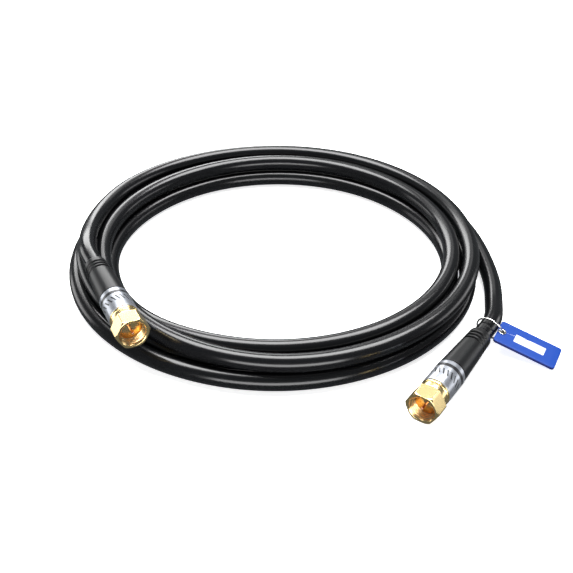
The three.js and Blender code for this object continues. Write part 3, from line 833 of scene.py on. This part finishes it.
for side, piece in sleeves.items():
    dress(piece, sleeve_finish, "cable", "sleeve", f"sleeve_{side}")

# %% [markdown]
# Gold plating on turned brass is bright and a little uneven. The bore is seen by light that has bounced
# between its walls, which makes the gold there look redder. That redder, darker gold is painted shade in
# the bore's colour, darkest in the thread's grooves.

# %% Gold plating, copper and nickel
GOLD, GOLD_PAINTED_BORE_SHADE, BORE_ROUGHER = (0.95, 0.74, 0.36), (0.80, 0.36, 0.14), 0.12

gold, tree, shader = new_finish("gold_plating", GOLD, 0.235, metallic=1.0)
rough = spread(tree, stretched_noise(tree, "Object", 900.0, 2.0), 0.23, 0.245)
bore = read_attribute(tree, "in_bore")
rougher = calculate(tree, "MULTIPLY", bore, BORE_ROUGHER)
tree.links.new(calculate(tree, "ADD", rough, rougher), shader.inputs["Roughness"])
# Painted shade: the colour goes from gold to a redder, darker gold deep in the bore and in the thread's
# grooves.
tree.links.new(mixed(tree, bore, GOLD, GOLD_PAINTED_BORE_SHADE), shader.inputs["Base Color"])
copper, tree, shader = new_finish("bare_copper", (0.86, 0.43, 0.25), 0.25, metallic=1.0)
tree.links.new(spread(tree, stretched_noise(tree, "Object", 1500.0), 0.18, 0.34), shader.inputs["Roughness"])
nickel, tree, shader = new_finish("bright_nickel", (0.78, 0.77, 0.75), 0.12, metallic=1.0)
tree.links.new(spread(tree, stretched_noise(tree, "Object", 1200.0), 0.07, 0.18), shader.inputs["Roughness"])
for side in PLUGS:
    dress(plug_bodies[side], gold, "cable", "gold_plating", f"connector_body_{side}")
    dress(nuts[side], gold, f"nut_{side}", "gold_plating", f"hex_nut_{side}")
    dress(conductors[side], copper, "cable", "copper", f"center_conductor_{side}")
dress(wire_ring, nickel, "tag_hanger", "ring_metal", "tag_ring")
dress(eyelet, nickel, "tag_hanger", "ring_metal", "tag_eyelet")

# %% [markdown]
# The tag is royal blue on both faces, and its edges are coloured a darker navy. A plain white field for
# writing on takes the middle of its top face.

# %% Tag
ROYAL_BLUE, NAVY, FIELD_WHITE = (0.007, 0.045, 0.27), (0.008, 0.013, 0.09), (0.72, 0.75, 0.80)
FIELD_LENGTH, FIELD_WIDTH = 0.49, 0.34  # shares of the tag's length and width
FIELD_MIDDLE = 0.53
TOP_FACE, EDGE_FACE = 0.9, 0.8  # limits of the height, which is 1 on the top face and -1 underneath

tag_finish, tree, shader = new_finish("tag_blue", ROYAL_BLUE, 0.4, Specular_IOR_Level=0.2)
u, v = surface_coordinates(tree)
height = read_attribute(tree, "height")
along_field = between(tree, u, FIELD_MIDDLE - FIELD_LENGTH / 2, FIELD_MIDDLE + FIELD_LENGTH / 2)
across_field = between(tree, v, 0.5 - FIELD_WIDTH / 2, 0.5 + FIELD_WIDTH / 2)
field = calculate(tree, "MULTIPLY", along_field, across_field)
field = calculate(tree, "MULTIPLY", field, calculate(tree, "GREATER_THAN", height, TOP_FACE))
edge = calculate(tree, "LESS_THAN", calculate(tree, "ABSOLUTE", height), EDGE_FACE)
plate_colour = mixed(tree, edge, ROYAL_BLUE, NAVY)
tree.links.new(mixed(tree, field, plate_colour, FIELD_WHITE), shader.inputs["Base Color"])
grain = stretched_noise(tree, "Object", 1800.0, 3.0)
tree.links.new(spread(tree, grain, 0.3, 0.44), shader.inputs["Roughness"])
add_bump(tree, shader, grain, 0.2, 0.00005)
dress(tag, tag_finish, "tag_hanger", "tag_plastic", "tag")

# %% [markdown]
# ## What hangs together
#
# The cable is one piece from plug to plug. It, its boots, sleeves, plug bodies and conductors hang on the
# body cable; each nut and the tag hanger have a body of their own.

# %% [markdown]
# ## Floor and light
#
# The floor is plain white, and glows a little so that shadows on it stay faint. A black glossy tube shows
# only what it mirrors, so the lights are large soft panels. One hangs above and a little behind, which
# gives each turn its upper line of light. One stands low in front, for the second line. The others stand
# at the back and at the two sides, where the flats of the gold nuts mirror them.

# %% Floor
floor_mesh = bpy.data.meshes.new("floor")
reach = 3.0
floor_corners = [(-reach, -reach, 0), (reach, -reach, 0), (reach, reach, 0), (-reach, reach, 0)]
floor_mesh.from_pydata(floor_corners, [], [(0, 1, 2, 3)])
floor = bpy.data.objects.new("floor", floor_mesh)
bpy.context.scene.collection.objects.link(floor)
floor_finish, tree, shader = new_finish(
    "floor_white", (0.9, 0.9, 0.9), 0.8, Emission_Color=(1, 1, 1, 1), Emission_Strength=0.75)
floor_mesh.materials.append(floor_finish)
floor.visible_glossy = False
floor.location.z = -0.0001
floor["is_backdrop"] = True

# %% Lights


def add_panel(name, place, target, width, height, radiance):
    """A soft panel that faces its target, in metres. Its power is pi * area * radiance."""
    light = bpy.data.lights.new(name, "AREA")
    light.shape, light.size, light.size_y = "RECTANGLE", width, height
    light.energy = np.pi * width * height * radiance
    panel = bpy.data.objects.new(name, light)
    place, target = np.array(place, float), np.array(target, float)
    backwards = place - target
    backwards /= np.linalg.norm(backwards)
    right = np.cross([0, 0, 1], backwards)
    right /= np.linalg.norm(right)
    turned_to = np.eye(4)
    turned_to[:3] = np.stack([right, np.cross(backwards, right), backwards, place], 1)
    panel.matrix_world = Matrix(turned_to.tolist())
    bpy.context.scene.collection.objects.link(panel)


add_panel("top_panel", (0.0, 0.28, 1.0), (0, 0, 0), 1.3, 0.62, 12.0)
add_panel("front_panel", (0.0, -1.1, 0.12), (0, 0, 0.02), 1.3, 0.46, 7.0)
add_panel("back_left_panel", (-0.35, 1.0, 0.45), (0, 0, 0), 0.7, 0.4, 7.0)
add_panel("left_panel", (-1.1, 0.5, 0.03), (0, 0, 0), 0.6, 0.5, 2.5)
add_panel("right_panel", (1.1, 0.25, 0.1), (0, 0, 0.02), 0.8, 0.35, 2.2)
add_panel("back_panel", (0.0, 1.0, 0.75), (0, 0, 0), 1.0, 0.25, 1.2)
world = bpy.data.worlds.new("studio")
world.use_nodes = True
background = world.node_tree.nodes["Background"]
background.inputs["Color"].default_value = (0.9, 0.95, 1.0, 1)
background.inputs["Strength"].default_value = 0.16
bpy.context.scene.world = world
bpy.context.scene.view_settings.view_transform = "Standard"

# %% [markdown]
# ## Sizes
#
# Both boxes, the CAD part's and the dressed object's, are printed. The dressed object may pass
# the CAD part's box by about 3 percent.

# %% Sizes and the end
dressed_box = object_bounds()
for label, (low, high) in (("cad", cad_box), ("visual", dressed_box)):
    print(label, [round(x * 1000, 2) for x in (*low, *high)])
